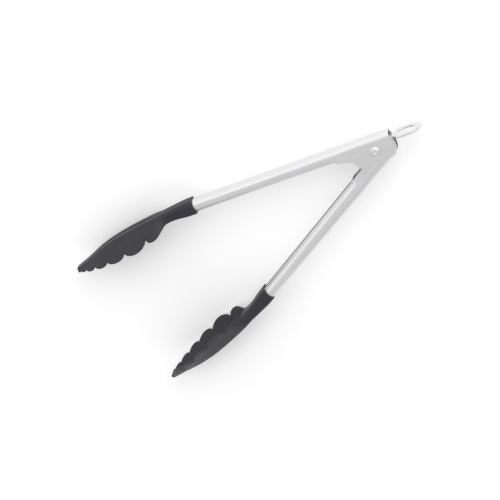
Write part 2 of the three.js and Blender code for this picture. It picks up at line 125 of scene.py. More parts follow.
class TongsSizes(bpy.types.PropertyGroup):
    """Sizes of the tongs. Those that the frame fixes are measured on it."""

    sheet: length("Sheet", "Thickness of the arms' steel", 1.0 * MM)
    handle_width: length("Handle width", "Across a handle", extent("upper_arm", 2))
    handle_depth: length("Handle depth", "Back to rims of a handle", 10 * MM)
    mouth: length("Handle mouth", "Between the curled rims", 6 * MM)
    back: length("Back", "Hinge axis to the outside of an arm's back", 11.5 * MM)
    back_bend: length("Back bend", "Outside radius of the bends beside the back", 4.0 * MM)
    rim_bend: length("Rim bend", "Radius of the curled rims", 5.4 * MM)
    taper: length("Lower arm taper", "How much deeper the lower arm is at the hinge", 2.7 * MM)
    slide_gap: length("Running gap", "Between pieces that move on each other", 0.3 * MM)
    ear_end: length("Ear length", "Hinge axis to the end of the flat ears", 31 * MM)
    ear_foot: length("Ear foot", "Hinge axis to the lower corner of the upper ears", 16.8 * MM)
    ear_drop: length("Ear drop", "How far the upper ears reach past the hinge", 9.5 * MM)
    arm_end: length("Arm end", "Hinge axis to the loop end of the upper arm", 14.8 * MM)
    upper_round: length("Upper ear radius", "Round end of the upper ears", 16.7 * MM)
    lower_round: length("Lower ear radius", "Round end of the lower ears", 17.5 * MM)
    head_start: length("Collar edge", "Hinge axis to the edge of a collar", 154.5 * MM)
    steel_in: length("Steel in collar", "Length of channel inside a collar", 5.5 * MM)
    tip: length("Tip", "Hinge axis to the tip of a head", reach("upper_head", TIPWARD))
    head_width: length("Head width", "Across the widest scallops", 44 * MM)
    wall: length("Nylon wall", "Thickness of a scoop's wall", 2.4 * MM)
    lip: length("Collar lip", "Nylon over the end of the steel, with its gap", 0.85 * MM)
    pin_radius: length("Pin radius", "Radius of the rivet's shank", 2.2 * MM)
    rivet_radius: length("Rivet head radius", "Radius of the domed head", extent("pivot_rivet", 0) / 2)
    burr_radius: length("Burr radius", "Radius of the washer", extent("rivet_burr", 0) / 2)
    wire: length("Spring wire", "Thickness of the spring's wire", 1.1 * MM)
    coil_radius: length("Coil radius", "To the middle of the wire", 3.9 * MM)
    coil_height: length("Coil height", "Between the middles of the end turns", 6 * MM)
    leg_reach: length("Leg reach", "Hinge axis to the end of a spring leg", 32 * MM)
    tab_height: length("Tab height", "Hinge axis to the middle of the pull tab", 5.9 * MM)
    tab_thickness: length("Tab thickness", "Thickness of the pull tab", 1.6 * MM)
    loop_width: length("Loop width", "Across the hanging loop", extent("lock_tab", 2))
    slot_width: length("Slot width", "Across the slot in the loop", 12 * MM)
    slot_start: length("Slot start", "Hinge axis to the near end of the slot", 20.5 * MM)
    slot_end: length("Slot end", "Hinge axis to the far end of the slot", 35.5 * MM)
    loop_end: length("Loop end", "Hinge axis to the end of the loop", reach("lock_tab", TAB_PULL))


class TongsColours(bpy.types.PropertyGroup):
    """Colours of the tongs and the floor."""

    steel: colour("Steel", "Satin stainless sheet", (0.83, 0.83, 0.84))
    tab_steel: colour("Tab steel", "Polished strip of the pull tab", (0.82, 0.82, 0.83))
    wire_steel: colour("Wire steel", "Drawn spring wire", (0.42, 0.42, 0.43))
    nylon: colour("Nylon", "Slate grey of the heads", (0.0195, 0.0180, 0.0245))
    # painted highlight: paler nylon colour for the convex edges
    nylon_edge_highlight: colour("Nylon edge highlight", "Painted highlight on the nylon's convex edges", (0.026, 0.024, 0.032))
    floor: colour("Floor", "The pale floor", (0.96, 0.96, 0.96))


def sizes():
    """The sizes as set in the sidebar."""
    return bpy.context.scene.tongs_sizes


def colours():
    """The colours as set in the sidebar."""
    return bpy.context.scene.tongs_colours


# ---- places ----


def arm_place(lower):
    """Arm frame to row frame: back along X on the +Y side, jaws at -X."""
    if lower:
        turn = Matrix.Rotation(LEAN, 4, "Z") @ Matrix.Rotation(math.pi, 4, "X")
        return Matrix.Translation(PIVOT) @ turn
    return Matrix.Translation(PIVOT) @ Matrix.Rotation(-LEAN, 4, "Z")


def head_place(lower):
    """Head frame to row frame: hinge to tip along -X."""
    return arm_place(lower) @ Matrix.Rotation(SPLAY, 4, "Z")


# ---- mesh tools ----


def new_object(name, data):
    """A new object in the scene."""
    made = bpy.data.objects.new(name, data)
    bpy.context.scene.collection.objects.link(made)
    return made


def mesh_object(name, points, faces, place=None):
    """A new object from points and faces, put in its place."""
    mesh = bpy.data.meshes.new(name)
    mesh.from_pydata([tuple(p) for p in points], [], faces)
    if place is not None:
        mesh.transform(place)
    made = new_object(name, mesh)
    tidy_normals(made)
    return made


def tidy_normals(made):
    """Turns a closed mesh's faces outwards."""
    work = bmesh.new()
    work.from_mesh(made.data)
    bmesh.ops.remove_doubles(work, verts=work.verts, dist=1e-7)
    bmesh.ops.recalc_face_normals(work, faces=work.faces)
    work.to_mesh(made.data)
    work.free()


def settle(made):
    """Applies an object's modifiers to its mesh."""
    bpy.context.view_layer.update()
    graph = bpy.context.evaluated_depsgraph_get()
    final = bpy.data.meshes.new_from_object(made.evaluated_get(graph), depsgraph=graph)
    made.modifiers.clear()
    made.data = final
    return made


def cut(made, tool, operation="DIFFERENCE"):
    """Cuts an object with another, which is used up."""
    step = made.modifiers.new("cut", "BOOLEAN")
    step.operation = operation
    step.solver = "EXACT"
    step.object = tool
    settle(made)
    bpy.data.objects.remove(tool)


def soften(made, width, angle=50, segments=2):
    """Rounds the sharp edges of an object and smooths its shading."""
    step = made.modifiers.new("soften", "BEVEL")
    step.width = width
    step.segments = segments
    step.limit_method = "ANGLE"
    step.angle_limit = math.radians(angle)
    step.use_clamp_overlap = True
    settle(made)
    smooth(made)


def smooth(made, angle=35, even=True):
    """Smooth shading with creases at steep edges. Even shading follows the large faces."""
    for face in made.data.polygons:
        face.use_smooth = True
    made.data.set_sharp_from_angle(angle=math.radians(angle))
    if even:
        step = made.modifiers.new("even", "WEIGHTED_NORMAL")
        step.keep_sharp = True
        step.weight = 100
        settle(made)


def loft(rings):
    """Points and faces of a closed skin over rings of equal count, capped at both ends."""
    count = len(rings[0])
    points = [p for ring in rings for p in ring]
    faces = [tuple(range(count)), tuple(range(len(points) - count, len(points)))]
    for k in range(len(rings) - 1):
        for i in range(count):
            j = (i + 1) % count
            a, b = k * count, (k + 1) * count
            faces.append((a + i, a + j, b + j, b + i))
    return points, faces


def slab(outline, low, high):
    """Points and faces of a plate with an outline in XY."""
    count = len(outline)
    points = [(x, y, low) for x, y in outline] + [(x, y, high) for x, y in outline]
    faces = [tuple(reversed(range(count))), tuple(range(count, 2 * count))]
    faces += [(i, (i + 1) % count, count + (i + 1) % count, count + i) for i in range(count)]
    return points, faces


def lathe(profile, around=64):
    """Points and faces of a turned piece about Z. The profile runs from axis to axis, or closes."""
    on_axis = profile[0][0] < TINY
    points, faces, rows = [], [], []
    for radius, z in profile:
        if radius < TINY:
            rows.append([len(points)] * around)
            points.append((0, 0, z))
            continue
        rows.append(list(range(len(points), len(points) + around)))
        for i in range(around):
            angle = math.tau * i / around
            points.append((radius * math.cos(angle), radius * math.sin(angle), z))
    pairs = list(zip(rows, rows[1:])) if on_axis else list(zip(rows, rows[1:] + rows[:1]))
    for a, b in pairs:
        for i in range(around):
            j = (i + 1) % around
            faces.append(tuple(dict.fromkeys((a[i], a[j], b[j], b[i]))))
    return points, faces


def arc(radius, start, end, steps, centre=(0, 0)):
    """Points of an arc."""
    spots = []
    for i in range(steps + 1):
        angle = start + (end - start) * i / steps
        spots.append((centre[0] + radius * math.cos(angle), centre[1] + radius * math.sin(angle)))
    return spots


def quarter(steps):
    """Evenly spaced angles from 0 to a quarter turn."""
    return [math.pi / 2 * i / steps for i in range(steps + 1)]


def mirrored(points):
    """Flat points mirrored to the other side of the middle, in reverse order."""
    return [Vector((p.x, -p.y)) for p in reversed(points)]


def turned(spot, angle):
    """A flat point turned about the origin."""
    x, y = spot
    c, s = math.cos(angle), math.sin(angle)
    return (x * c - y * s, x * s + y * c)


def headings(line):
    """Direction of a line at each of its points."""
    pairs = zip([line[0], *line[:-1]], [*line[1:], line[-1]])
    return [(after - before).normalized() for before, after in pairs]


def rounded(corners, radii, steps):
    """An open path with its inner corners rounded by arcs. Straight corners get close points."""
    path = [Vector(corners[0])]
    for before, at, after, radius in zip(corners, corners[1:], corners[2:], radii):
        at = Vector(at)
        back, ahead = (Vector(before) - at), (Vector(after) - at)
        limit = min(back.length, ahead.length) * CORNER_SHARE
        back.normalize()
        ahead.normalize()
        half = back.angle(ahead, math.pi) / 2
        away = min(max(radius / math.tan(half), radius * 0.05), limit)
        if half > math.radians(88):
            spots = [at + back * away * (1 - 2 * i / steps) for i in range(steps + 1)]
        else:
            hub = at + (back + ahead).normalized() * away / math.cos(half)
            first = at + back * away - hub
            last = at + ahead * away - hub
            sweep = math.pi - 2 * half
            spots = []
            for i in range(steps + 1):
                a, b = (math.sin(sweep * (1 - i / steps)), math.sin(sweep * i / steps))
                spots.append(hub + (first * a + last * b) / math.sin(sweep))
        path += spots
    path.append(Vector(corners[-1]))
    return path


def eased(stations, x):
    """Smooth value at x along (x, value) stations."""
    if x <= stations[0][0]:
        return stations[0][1]
    if x >= stations[-1][0]:
        return stations[-1][1]
    k = next(i for i, s in enumerate(stations) if s[0] >= x)

    def slope(i):
        a, b = stations[max(i - 1, 0)], stations[min(i + 1, len(stations) - 1)]
        return (b[1] - a[1]) / (b[0] - a[0])

    (x0, y0), (x1, y1) = stations[k - 1], stations[k]
    h = x1 - x0
    t = (x - x0) / h
    s = 1 - t
    ends = y0 * s * s * (1 + 2 * t) + y1 * t * t * (3 - 2 * t)
    return ends + h * t * s * (s * slope(k - 1) - t * slope(k))


def step_up(x, low, high):
    """0 below low, 1 above high, smooth between."""
    t = min(max((x - low) / (high - low), 0), 1)
    return t * t * (3 - 2 * t)


# ---- material tools ----


def node_group(name, inputs, outputs):
    """An empty shader node group with named sockets, and its two ends."""
    tree = bpy.data.node_groups.new(name, "ShaderNodeTree")
    for label, kind, default in inputs:
        socket = tree.interface.new_socket(name=label, in_out="INPUT", socket_type=kind)
        if default is not None:
            socket.default_value = default
    for label, kind in outputs:
        tree.interface.new_socket(name=label, in_out="OUTPUT", socket_type=kind)
    start = tree.nodes.new("NodeGroupInput")
    end = tree.nodes.new("NodeGroupOutput")
    return tree, start, end


def add_node(tree, kind, values=None, **settings):
    """A node with its settings and input values."""
    made = tree.nodes.new(kind)
    for key, value in settings.items():
        setattr(made, key, value)
    for key, value in (values or {}).items():
        made.inputs[key].default_value = value
    return made


def feed(tree, value, socket):
    """Gives an input a value, or links a socket to it."""
    if isinstance(value, bpy.types.NodeSocket):
        tree.links.new(value, socket)
    else:
        socket.default_value = value


def sums(tree, operation, a, b):
    """A math node over two values or sockets."""
    made = add_node(tree, "ShaderNodeMath", operation=operation)
    feed(tree, a, made.inputs[0])
    feed(tree, b, made.inputs[1])
    return made.outputs[0]


def plus(tree, base, mask, weight):
    """A value or socket with a weighted mask added."""
    return sums(tree, "ADD", base, sums(tree, "MULTIPLY", mask, weight))


def spread(tree, value, low, high):
    """Maps a value's range to 0 to 1, held at the ends."""
    made = add_node(tree, "ShaderNodeMapRange", {1: low, 2: high, 3: 0, 4: 1})
    tree.links.new(value, made.inputs[0])
    return made.outputs[0]


def noise(tree, vector, **values):
    """A noise texture over a vector. Each value is a number or a socket."""
    made = add_node(tree, "ShaderNodeTexNoise")
    tree.links.new(vector, made.inputs["Vector"])
    for key, value in values.items():
        feed(tree, value, made.inputs[key])
    return made.outputs["Fac"]


def lining_group():
    """Fine lines drawn along X, as a polishing belt leaves them on sheet."""
    ends = [("Vector", "NodeSocketVector", None), ("Fineness", "NodeSocketFloat", 5200.0)]
    ends += [("Drawn out", "NodeSocketFloat", 0.012)]
    results = [("Height", "NodeSocketFloat"), ("Tone", "NodeSocketFloat")]
    tree, start, end = node_group("Belt Lines", ends, results)
    scale = add_node(tree, "ShaderNodeCombineXYZ", {1: 1, 2: 1})
    tree.links.new(start.outputs["Drawn out"], scale.inputs[0])
    drawn = add_node(tree, "ShaderNodeVectorMath", operation="MULTIPLY")
    tree.links.new(start.outputs["Vector"], drawn.inputs[0])
    tree.links.new(scale.outputs[0], drawn.inputs[1])
    fineness = start.outputs["Fineness"]
    coarser = sums(tree, "MULTIPLY", fineness, 0.12)
    fine = noise(tree, drawn.outputs[0], Scale=fineness, Detail=3.0, Roughness=0.6)
    broad = noise(tree, drawn.outputs[0], Scale=coarser, Detail=2.0, Roughness=0.5)
    tree.links.new(fine, end.inputs["Height"])
    both = plus(tree, sums(tree, "MULTIPLY", fine, 0.5), broad, 0.5)
    tree.links.new(spread(tree, both, 0.35, 0.65), end.inputs["Tone"])
    return tree


def handling_group():
    """Soft cloudy marks that hands and washing leave, and scattered short scuffs."""
    ends = [("Vector", "NodeSocketVector", None), ("Cloud size", "NodeSocketFloat", 60.0)]
    results = [("Cloud", "NodeSocketFloat"), ("Scuff", "NodeSocketFloat")]
    tree, start, end = node_group("Handling Marks", ends, results)
    where, large = start.outputs["Vector"], start.outputs["Cloud size"]
    small = sums(tree, "MULTIPLY", large, 5.0)
    cloud = noise(tree, where, Scale=large, Detail=4.0, Roughness=0.55, Distortion=0.4)
    tree.links.new(spread(tree, cloud, 0.38, 0.68), end.inputs["Cloud"])
    scuff = noise(tree, where, Scale=small, Detail=6.0, Roughness=0.75, Distortion=2.5)
    tree.links.new(spread(tree, scuff, 0.62, 0.72), end.inputs["Scuff"])
    return tree


def edge_highlight_group():
    """Mask of convex edges, where a painted highlight lightens the colour."""
    ends = [("From", "NodeSocketFloat", 0.51), ("To", "NodeSocketFloat", 0.56)]
    tree, start, end = node_group("Painted Edge Highlight", ends, [("Mask", "NodeSocketFloat")])
    # painted highlight: this mask marks the convex edges that are painted lighter
    shape = add_node(tree, "ShaderNodeNewGeometry")
    mapped = add_node(tree, "ShaderNodeMapRange")
    tree.links.new(shape.outputs["Pointiness"], mapped.inputs[0])
    tree.links.new(start.outputs["From"], mapped.inputs[1])
    tree.links.new(start.outputs["To"], mapped.inputs[2])
    tree.links.new(mapped.outputs[0], end.inputs["Mask"])
    return tree


def moulded_group():
    """The skin of a moulding: a fine sparkle-free grain and a slow unevenness."""
    ends = [("Vector", "NodeSocketVector", None), ("Grain size", "NodeSocketFloat", 2600.0)]
    results = [("Height", "NodeSocketFloat"), ("Uneven", "NodeSocketFloat")]
    tree, start, end = node_group("Moulded Skin", ends, results)
    where = start.outputs["Vector"]
    grain = noise(tree, where, Scale=start.outputs["Grain size"], Detail=2.0, Roughness=0.5)
    tree.links.new(grain, end.inputs["Height"])
    slow = noise(tree, where, Scale=90.0, Detail=3.0, Roughness=0.5)
    tree.links.new(spread(tree, slow, 0.35, 0.68), end.inputs["Uneven"])
    return tree


def placed_group(tree, make, name, vector=None, **values):
    """A group, built once for all materials, set in a material with its own values."""
    made = tree.nodes.new("ShaderNodeGroup")
    made.node_tree = bpy.data.node_groups.get(name) or make()
    for key, value in values.items():
        made.inputs[key.replace("_", " ")].default_value = value
    if vector is not None:
        tree.links.new(vector, made.inputs["Vector"])
    return made


def new_material(name, shown):
    """A material with its shader, and the object's coordinates."""
    made = bpy.data.materials.new(name)
    made.use_nodes = True
    made.diffuse_color = (*shown, 1)
    tree = made.node_tree
    shader = tree.nodes["Principled BSDF"]
    where = add_node(tree, "ShaderNodeTexCoord").outputs["Object"]
    return made, tree, shader, where


def turned_vector(tree, where, angle):
    """Coordinates turned so that X runs along an arm."""
    made = add_node(tree, "ShaderNodeMapping", {"Rotation": (0, 0, angle)})
    tree.links.new(where, made.inputs["Vector"])
    return made.outputs[0]


def mixed_colour(tree, mask, first, second):
    """A colour that goes from the first to the second with a mask. Each is a colour or a socket."""
    made = add_node(tree, "ShaderNodeMix", data_type="RGBA")
    tree.links.new(mask, made.inputs[0])
    for place, tone in ((6, first), (7, second)):
        linked = isinstance(tone, bpy.types.NodeSocket)
        feed(tree, tone if linked else (*tone, 1), made.inputs[place])
    return made.outputs[2]


def bumped(tree, shader, height, strength, distance):
    """A bump from a height, on the shader's normal."""
    made = add_node(tree, "ShaderNodeBump", {"Strength": strength, "Distance": distance})
    tree.links.new(height, made.inputs["Height"])
    tree.links.new(made.outputs[0], shader.inputs["Normal"])


def steel_material(name, base, angle, roughness, line_depth, fineness=5200.0):
    """Stainless steel with belt lines along its length, faint handling marks and a painted highlight
    on its convex edges.
    """
    made, tree, shader, where = new_material(name, base)
    drawn = turned_vector(tree, where, angle)
    lines = placed_group(tree, lining_group, "Belt Lines", drawn, Fineness=fineness)
    marks = placed_group(tree, handling_group, "Handling Marks", where)
    # painted highlight: the steel's colour is lighter on convex edges, where they catch the light
    edges = placed_group(tree, edge_highlight_group, "Painted Edge Highlight", From=0.53, To=0.62)
    darker = tuple(c * 0.86 for c in base)
    highlight_tone = tuple(min(c * 1.12, 1) for c in base)
    toned = mixed_colour(tree, lines.outputs["Tone"], darker, base)
    bright = mixed_colour(tree, edges.outputs["Mask"], toned, highlight_tone)
    tree.links.new(bright, shader.inputs["Base Color"])
    rough = plus(tree, roughness, marks.outputs["Cloud"], 0.05)
    rough = plus(tree, rough, marks.outputs["Scuff"], 0.03)
    rough = plus(tree, rough, lines.outputs["Tone"], 0.04)
    tree.links.new(rough, shader.inputs["Roughness"])
    bumped(tree, shader, lines.outputs["Height"], line_depth, 0.006 * MM)
    shader.inputs["Metallic"].default_value = 1
    return made


def nylon_material():
    """Slate grey moulded nylon: fine grain, a low sheen, and a painted highlight that makes its convex
    edges paler.
    """
    tones = colours()
    made, tree, shader, where = new_material("Slate Nylon", tones.nylon)
    skin = placed_group(tree, moulded_group, "Moulded Skin", where)
    marks = placed_group(tree, handling_group, "Handling Marks", where, Cloud_size=45.0)
    edges = placed_group(tree, edge_highlight_group, "Painted Edge Highlight", From=0.52, To=0.60)
    paler = tuple(c * 1.18 for c in tones.nylon)
    body = mixed_colour(tree, skin.outputs["Uneven"], tones.nylon, paler)
    # painted highlight: the nylon is paler on its convex edges
    highlight_weight = sums(tree, "MULTIPLY", edges.outputs["Mask"], 0.8)
    edge_lit_colour = mixed_colour(tree, highlight_weight, body, tones.nylon_edge_highlight)
    tree.links.new(edge_lit_colour, shader.inputs["Base Color"])
    rough = plus(tree, 0.46, marks.outputs["Cloud"], 0.10)
    rough = plus(tree, rough, marks.outputs["Scuff"], 0.08)
    tree.links.new(rough, shader.inputs["Roughness"])
    bumped(tree, shader, skin.outputs["Height"], 0.35, 0.03 * MM)
    shader.inputs["IOR"].default_value = 1.5
    shader.inputs["Specular IOR Level"].default_value = 0.42
    return made


def floor_material():
    """A pale matt floor with a trace of unevenness and a faint glow, as of a lit table."""
    tone = colours().floor
    made, tree, shader, where = new_material("Pale Floor", tone)
    skin = placed_group(tree, moulded_group, "Moulded Skin", where, Grain_size=300.0)
    body = mixed_colour(tree, skin.outputs["Uneven"], tone, tuple(c * 0.995 for c in tone))
    tree.links.new(body, shader.inputs["Base Color"])
    shader.inputs["Roughness"].default_value = 0.9
    shader.inputs["Emission Color"].default_value = (1, 1, 1, 1)
    shader.inputs["Emission Strength"].default_value = 0.09
    return made


def finished(piece, material, body, slot, *nodes):
    """Gives a piece its material and its body, and hides the frame nodes that it stands for. The slot
    is not used.
    """
    piece.data.materials.clear()
    piece.data.materials.append(material)
    if body is not None:
        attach(piece, body)
    if nodes:
        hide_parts(*nodes)


# ---- the arms ----


def channel_line(s, back, width, curl, drop):
    """Middle line of the folded sheet in YZ, one half, from the middle of the back to a rim.

    curl goes from 0, a flat side, to 1, a rim rolled in as far as the mouth. drop makes a flat
    side longer.
    """
    half = s.sheet / 2
    side = width / 2 - half
    top = back - half
    bend = s.back_bend - half
    roll = s.rim_bend - half
    floor = s.back - s.handle_depth + half
    line = [Vector((top, 0)), Vector((top, (side - bend) * 0.6))]
    line += [Vector(p) for p in arc(bend, 0, math.pi / 2, 8, (top - bend, side - bend))]
    full = math.acos(max(1 - (s.handle_width / 2 - half - s.mouth / 2) / roll, 0))
    start = floor + roll * math.sin(full)
    line += [Vector((top - bend + (start - top + bend) * t, side)) for t in (0.34, 0.67)]
    steps = 10
    spot, heading = Vector((start, side)), math.pi
    line.append(spot)
    for _ in range(steps):
        middle = heading + curl * full / steps / 2
        heading += curl * full / steps
        spot = spot + Vector((math.cos(middle), math.sin(middle))) * roll * full / steps
        line.append(spot)
    ahead = Vector((math.cos(heading), math.sin(heading)))
    straight = 0.1 * MM + drop
    line += [spot + ahead * straight * 0.5, spot + ahead * straight]
    return line


def back_at(s, x, lower):
    """Outside of an arm's back at x. The lower arm is deeper towards the hinge."""
    return s.back + (s.taper * (1 + x / (s.head_start + s.steel_in)) if lower else 0)


def channel_ring(s, x, back, width, curl, drop):
    """The folded sheet's whole section at x, with rounded rims."""
    half = s.sheet / 2
    line = channel_line(s, back, width, curl, drop)
    across = [Vector((ahead.y, -ahead.x)) for ahead in headings(line)]
    across[0] = Vector((1, 0))
    outer = [p + n * half for p, n in zip(line, across)]
    inner = [p - n * half for p, n in zip(line, across)]
    in_bend = 3  # a point in the bend tells which side is out
    if outer[in_bend].y < inner[in_bend].y:
        outer, inner = inner, outer
    end = line[-1]
    ahead = (line[-1] - line[-2]).normalized()
    nose = ((0.75, 0.6), (0, 0.95), (-0.75, 0.6))  # across and ahead, in half thicknesses
    rim = [end + (outer[-1] - end) * c + ahead * half * q for c, q in nose]
    upper = outer + rim + inner[::-1]
    return [(x, p.x, p.y) for p in upper + mirrored(upper[1:-1])]


def tang(s, grow):
    """Strip that runs on from an arm's back into the nylon, in the head frame."""
    half = s.sheet / 2 + grow
    steel_end = s.head_start + s.steel_in
    overlap = 4 * MM
    start = steel_end - overlap
    back = (s.back - s.sheet / 2) / math.cos(SPLAY) + start * math.tan(SPLAY)
    far = steel_end + TANG_LENGTH + grow
    middle = [(-start, back), (-steel_end - overlap, back - 2.6 * MM), (-far, back - 4 * MM)]
    outline = [(x, y + half) for x, y in middle] + [(x, y - half) for x, y in reversed(middle)]
    return slab(outline, -TANG_HALF - grow, TANG_HALF + grow)


def upper_outline(s):
    """Side outline of the upper ears in the arm frame. The handle's stretch is left whole."""
    top = s.back + s.sheet
    start = math.acos(s.arm_end / s.upper_round)
    lower = SWING + 2 * SPLAY
    limit = s.back + s.taper - s.slide_gap
    foot = math.acos(limit / s.upper_round) - (math.pi / 2 - lower)
    heel = (limit - 1 * MM - s.ear_drop * math.cos(lower)) / math.sin(lower)
    rim = s.back - s.handle_depth
    ends = [(-FAR, top), (s.arm_end, top), *arc(s.upper_round, start, foot, 24), (heel, -s.ear_drop)]
    hollow = rounded(
        [
            (heel, -s.ear_drop),
            (-s.ear_foot, -s.ear_drop),
            (-s.ear_foot - 1.7 * MM, -4.1 * MM),
            (-s.ear_foot - 3.7 * MM, -2.6 * MM),
            (-s.ear_end + 1.5 * MM, rim - 0.9 * MM),
            (-s.ear_end - 1.5 * MM, -BELOW),
        ],
        [1.0 * MM, 1.2 * MM, 2.5 * MM, 0.8 * MM],
        6,
    )
    return ends + [tuple(p) for p in hollow[1:]] + [(-FAR, -BELOW)]


def lower_outline(s):
    """Side outline of the lower ears in the lower arm's frame, with the notch for the tab's lugs."""
    under = s.tab_height - s.tab_thickness / 2 - s.slide_gap
    over = s.tab_height + s.tab_thickness / 2 + s.slide_gap
    travel = joint("lock_slide")["range_m"][1]
    notch_end = LUG_START + LUG_LENGTH + travel + s.slide_gap
    inside_bend = s.back_bend - s.sheet
    stop = s.back - s.sheet - s.slide_gap - 0.55 * inside_bend

    def slot(height, out):
        return turned((out, height), -SWING)

    tooth = (over * math.cos(SWING) - under) / math.sin(SWING)
    stop_top = (stop - under * math.cos(SWING)) / math.sin(SWING)
    stop_foot = slot(stop, math.sqrt(s.lower_round**2 - stop**2))
    lean = 2 * SPLAY
    top = s.back + s.taper + s.sheet
    heel = turned((math.sqrt(s.lower_round**2 - top**2), -top), lean)
    first = math.atan2(stop_foot[1], stop_foot[0])
    last = math.atan2(heel[1], heel[0])
    closed = [slot(over, tooth), (stop_top, under), *arc(s.lower_round, first, last, 28)]
    notch = arc(under, math.radians(125), math.pi / 2 - SWING, 14)
    notch += [slot(under, notch_end), slot(over, notch_end)]
    rim = s.back - s.handle_depth

    def own(spot):
        x, y = turned(spot, -lean)
        return (x, -y)

    left = [(-FAR, top), (-FAR, -BELOW), (-s.ear_end - 5 * MM, -BELOW)]
    left += [(-s.ear_end - 1.5 * MM, rim - 0.4 * MM), (-s.ear_foot, rim - 0.4 * MM)]
    return [own(p) for p in closed] + left + [own(p) for p in notch]


def make_arm(s, name, lower):
    """One arm: a channel with curled rims that opens into flat ears round the hinge."""
    steel_end = s.head_start + s.steel_in
    ear_width = s.handle_width - 2 * (s.sheet + s.slide_gap) if lower else s.handle_width
    end = s.lower_round if lower else s.arm_end + 1.5 * MM
    curl_from = s.ear_end - (2.5 * MM if lower else 1 * MM)
    curl_to = s.ear_end + (3.5 * MM if lower else 5 * MM)
    places = [-steel_end, -150 * MM, -120 * MM, -90 * MM, -60 * MM, -48 * MM]
    places += [-(44 - 0.75 * i) * MM for i in range(38)]
    places += [-14 * MM + (end + 14 * MM) * i / 12 for i in range(13)]
    rings = []
    for x in places:
        curl = step_up(-x, curl_from, curl_to)
        grown = step_up(-x, s.ear_foot + 6 * MM, s.ear_end + 3 * MM)
        width = ear_width + (s.handle_width - ear_width) * grown
        drop = (1 - step_up(-x, s.ear_end - 6 * MM, s.ear_end)) * CLEAR
        rings.append(channel_ring(s, x, back_at(s, x, lower), width, curl, drop))
    arm = mesh_object(name, *loft(rings))
    outline = lower_outline(s) if lower else upper_outline(s)
    cut(arm, mesh_object("outline", *slab(outline, -CLEAR, CLEAR)), "INTERSECT")
    cut(arm, mesh_object("tang", *tang(s, 0), Matrix.Rotation(SPLAY, 4, "Z")), "UNION")
    hole = s.pin_radius + PIN_GAP
    cut(arm, mesh_object("hole", *lathe([(0, -CLEAR), (hole, -CLEAR), (hole, CLEAR), (0, CLEAR)])))
    soften(arm, 0.14 * MM, angle=60)
    arm.data.transform(arm_place(lower))
    return arm


# ---- the heads ----


def along(s, share):
    """Distance from the hinge at a share of the scoop's length, from neck to tip."""
    neck = s.head_start + COLLAR
    return neck + share * (s.tip - neck)


def head_tables(s):
    """Stations from collar to tip in the head frame, as in the frame's own heads."""
    steel_end = s.head_start + s.steel_in
    neck = along(s, 0)
    slope = math.tan(SPLAY)
    wide = s.head_width / 2
    side = s.handle_width / 2 + s.lip

    def top(x):
        return s.back / math.cos(SPLAY) + x * slope + s.lip

    def foot(x):
        return s.back - s.handle_depth + x * slope - s.lip

    def scaled(*rows):
        return [(along(s, share), value * MM) for share, value in rows]

    near, far = s.head_start, steel_end + 1 * MM
    back = [(near, top(near)), (far, top(far) - 0.1 * MM)]
    back += scaled((0, 19.7), (0.24, 18.5), (0.5, 16), (0.7, 12.2), (0.86, 7.4), (0.96, 4.9), (1, 4))
    rim = [(near, foot(near)), (far, foot(far))]
    rim += scaled((0, 10.4), (0.12, 5.8), (0.33, 2), (0.55, 1.2), (0.75, 1.1), (1, 0.5))
    back_half = [(near, side), (far, side), (neck, side - 0.9 * MM)]
    back_half += scaled((0.2, 6.2), (0.7, 5.4), (0.92, 4.2), (1, 3.2))
    rim_half = [(near, side), (far, side), (neck, side - 0.4 * MM)]
    flare = ((0.12, 3.4), (0.33, 0.3), (0.52, 0), (0.7, 1.6), (0.86, 7), (0.95, 12.5))
    rim_half += [(along(s, share), wide - less * MM) for share, less in flare]
    rim_half.append((s.tip, 5.4 * MM))
    shares = ((0.16, 0.85), (0.24, 1), (0.88, 1), (0.97, 0))
    return {
        "back": back,
        "rim": rim,
        "back_half": back_half,
        "rim_half": rim_half,
        "hollow": [(neck + 2 * MM, 0)] + [(along(s, share), value) for share, value in shares],
        "rounding": [(neck - 6 * MM, 3.4 * MM), *scaled((0.1, 0.7), (0.9, 0.7), (1, 0.4))],
        "groove": scaled((0, 0), (0.15, 0.6), (0.6, 0.6), (0.82, 0)),
        "bend": [(neck - 4 * MM, 5.2 * MM), *scaled((0.15, 2.2), (0.6, 1.4), (0.82, 2.4))],
    }


VALLEYS = (0, 0.222, 0.46, 0.65, 0.79, 0.9, 0.97, 1)  # shares of the scoop's length
DEPTHS = (0, 7.6, 6.0, 4.2, 3.8, 2.8, 1.2, 0.8)  # mm cut from the wall at each valley


def scallop(s, x):
    """Depth cut out of the wall at x: round lobes that meet in sharp valleys."""
    places = [along(s, share) for share in VALLEYS]
    x = min(x, places[-1])
    k = next(i for i, at in enumerate(places) if at >= x)
    if k == 0:
        return 0
    t = (x - places[k - 1]) / (places[k] - places[k - 1])
    depth = DEPTHS[k - 1] + (DEPTHS[k] - DEPTHS[k - 1]) * t
    return depth * MM * (1 - math.sqrt(max(1 - (2 * t - 1) ** 2, 0)))


